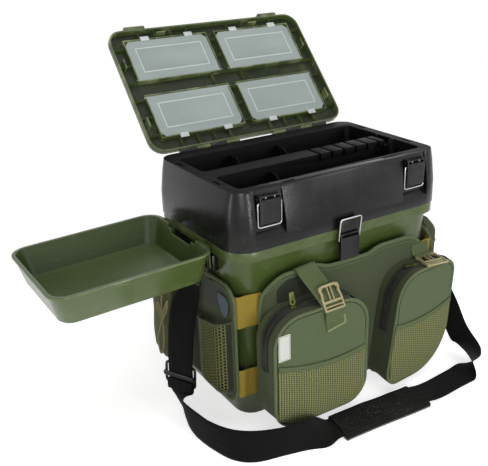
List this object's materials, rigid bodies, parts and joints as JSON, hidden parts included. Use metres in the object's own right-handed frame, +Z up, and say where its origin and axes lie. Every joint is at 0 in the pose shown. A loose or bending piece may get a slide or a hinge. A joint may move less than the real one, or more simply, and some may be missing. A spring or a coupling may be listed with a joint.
{
  "type": "fishing seat box",
  "caption": "Fishing seat box: green tub, black tackle section with compartment lid, hook-on side tray, fabric carrier with zipped and mesh pockets, and a shoulder strap.",
  "frame": {"origin": "centre of the tub's base, on the ground", "axes": "+X to the right seen from the front, away from the side tray; +Y to the back, where the lid opens; +Z up"},
  "size_m": [0.7238, 0.5577, 0.5783],
  "materials": {
    "green_plastic": "satin olive green",
    "black_plastic": "satin black",
    "tray_plastic": "satin mid green",
    "frosted_plastic": "frosted, see-through",
    "fabric": "woven olive",
    "mesh": "open mesh, yellowish olive",
    "elastic": "woven tan elastic",
    "buckle_plastic": "satin tan",
    "brass": "dull brass",
    "steel": "bright",
    "webbing": "woven black",
    "pad": "woven black over foam"
  },
  "bodies": {
    "box": {"tub": "green_plastic", "front_panel": "fabric", "left_side_panel": "fabric", "right_side_panel": "fabric", "back_panel": "fabric", "left_front_pocket": "fabric", "right_front_pocket": "fabric", "left_pocket_mesh": "mesh", "right_pocket_mesh": "mesh", "left_bottle_pocket": "mesh", "left_bottle_flap": "fabric", "left_drawstring_pouch": "fabric", "right_side_pocket": "fabric", "left_pocket_strap": "fabric", "right_pocket_strap": "fabric", "left_pocket_tab": "fabric", "left_pocket_buckle": "buckle_plastic", "right_pocket_buckle": "buckle_plastic", "left_ring_loop": "webbing", "right_ring_loop": "webbing", "shoulder_strap": "webbing", "shoulder_pad": "pad", "centre_latch_base": "black_plastic", "tray_bracket": "black_plastic", "left_strap_ring": "black_plastic", "right_strap_ring": "black_plastic", "strap_glide": "black_plastic", "tackle_hinge_rod_left": "steel", "tackle_hinge_rod_right": "steel", "centre_latch_pin": "steel", "left_upper_elastic_link": "elastic", "left_lower_elastic_link": "elastic", "right_upper_elastic_link": "elastic", "right_lower_elastic_link": "elastic"},
    "tackle": {"tackle_section": "black_plastic", "front_partition": "black_plastic", "rear_partition_left": "black_plastic", "rear_partition_right": "black_plastic", "centre_keeper": "black_plastic", "lid_hinge_rod_left": "steel", "lid_hinge_rod_right": "steel", "left_latch_base": "black_plastic", "left_latch_pin": "steel", "right_latch_base": "black_plastic", "right_latch_pin": "steel"},
    "lid": {"lid": "green_plastic"},
    "box_lid_upper_left": {"box_lid_upper_left": "frosted_plastic"},
    "box_lid_upper_right": {"box_lid_upper_right": "frosted_plastic"},
    "box_lid_lower_left": {"box_lid_lower_left": "frosted_plastic"},
    "box_lid_lower_right": {"box_lid_lower_right": "frosted_plastic"},
    "left_lever": {"left_latch_lever": "black_plastic"},
    "right_lever": {"right_latch_lever": "black_plastic"},
    "centre_lever": {"centre_latch_lever": "black_plastic"},
    "left_bail": {"left_latch_bail": "steel"},
    "right_bail": {"right_latch_bail": "steel"},
    "centre_bail": {"centre_latch_bail": "steel"},
    "side_tray": {"side_tray": "tray_plastic"},
    "left_zip": {"left_zip_slider": "brass"},
    "right_zip": {"right_zip_slider": "brass"}
  },
  "joints": [
    {"name": "tackle_section_hinge", "type": "hinge", "parent": "box", "child": "tackle", "pos_m": [0, 0.136, 0.2998], "axis": [-1, 0, 0], "range_deg": [0, 90]},
    {"name": "lid_hinge", "type": "hinge", "parent": "tackle", "child": "lid", "pos_m": [0, 0.1246, 0.3903], "axis": [-1, 0, 0], "range_deg": [-132.3, 0]},
    {"name": "box_lid_upper_left_hinge", "type": "hinge", "parent": "lid", "child": "box_lid_upper_left", "pos_m": [0, 0.2256, 0.49714], "axis": [1, 0, 0], "range_deg": [0, 95]},
    {"name": "box_lid_lower_left_hinge", "type": "hinge", "parent": "lid", "child": "box_lid_lower_left", "pos_m": [0, 0.20138, 0.47051], "axis": [-1, 0, 0], "range_deg": [0, 95]},
    {"name": "box_lid_upper_right_hinge", "type": "hinge", "parent": "lid", "child": "box_lid_upper_right", "pos_m": [0, 0.2256, 0.49714], "axis": [1, 0, 0], "range_deg": [0, 95]},
    {"name": "box_lid_lower_right_hinge", "type": "hinge", "parent": "lid", "child": "box_lid_lower_right", "pos_m": [0, 0.20138, 0.47051], "axis": [-1, 0, 0], "range_deg": [0, 95]},
    {"name": "left_lever_hinge", "type": "hinge", "parent": "tackle", "child": "left_lever", "pos_m": [-0.141, -0.126, 0.38], "axis": [-1, 0, 0], "range_deg": [0, 120]},
    {"name": "left_bail_hinge", "type": "hinge", "parent": "left_lever", "child": "left_bail", "pos_m": [-0.141, -0.126, 0.371], "axis": [1, 0, 0], "range_deg": [-175, 0]},
    {"name": "right_lever_hinge", "type": "hinge", "parent": "tackle", "child": "right_lever", "pos_m": [0.141, -0.126, 0.38], "axis": [-1, 0, 0], "range_deg": [0, 120]},
    {"name": "right_bail_hinge", "type": "hinge", "parent": "right_lever", "child": "right_bail", "pos_m": [0.141, -0.126, 0.371], "axis": [1, 0, 0], "range_deg": [-175, 0]},
    {"name": "centre_lever_hinge", "type": "hinge", "parent": "box", "child": "centre_lever", "pos_m": [0, -0.135, 0.2903], "axis": [-1, 0, 0], "range_deg": [0, 120]},
    {"name": "centre_bail_hinge", "type": "hinge", "parent": "centre_lever", "child": "centre_bail", "pos_m": [0, -0.135, 0.2813], "axis": [-1, 0, 0], "range_deg": [-120, 0]},
    {"name": "side_tray_lift", "type": "slide", "parent": "box", "child": "side_tray", "axis": [0, 0, 1], "range_m": [0, 0.06]},
    {"name": "left_zip_slide", "type": "slide", "parent": "box", "child": "left_zip", "axis": [1, 0, 0], "range_m": [0, 0.07]},
    {"name": "right_zip_slide", "type": "hinge", "parent": "box", "child": "right_zip", "pos_m": [0.1161, -0.159, 0.16], "axis": [0, -1, 0], "range_deg": [0, 75]}
  ],
  "couplings": [
    {"joint": "centre_bail_hinge", "follows": "centre_lever_hinge", "ratio": -1}
  ]
}
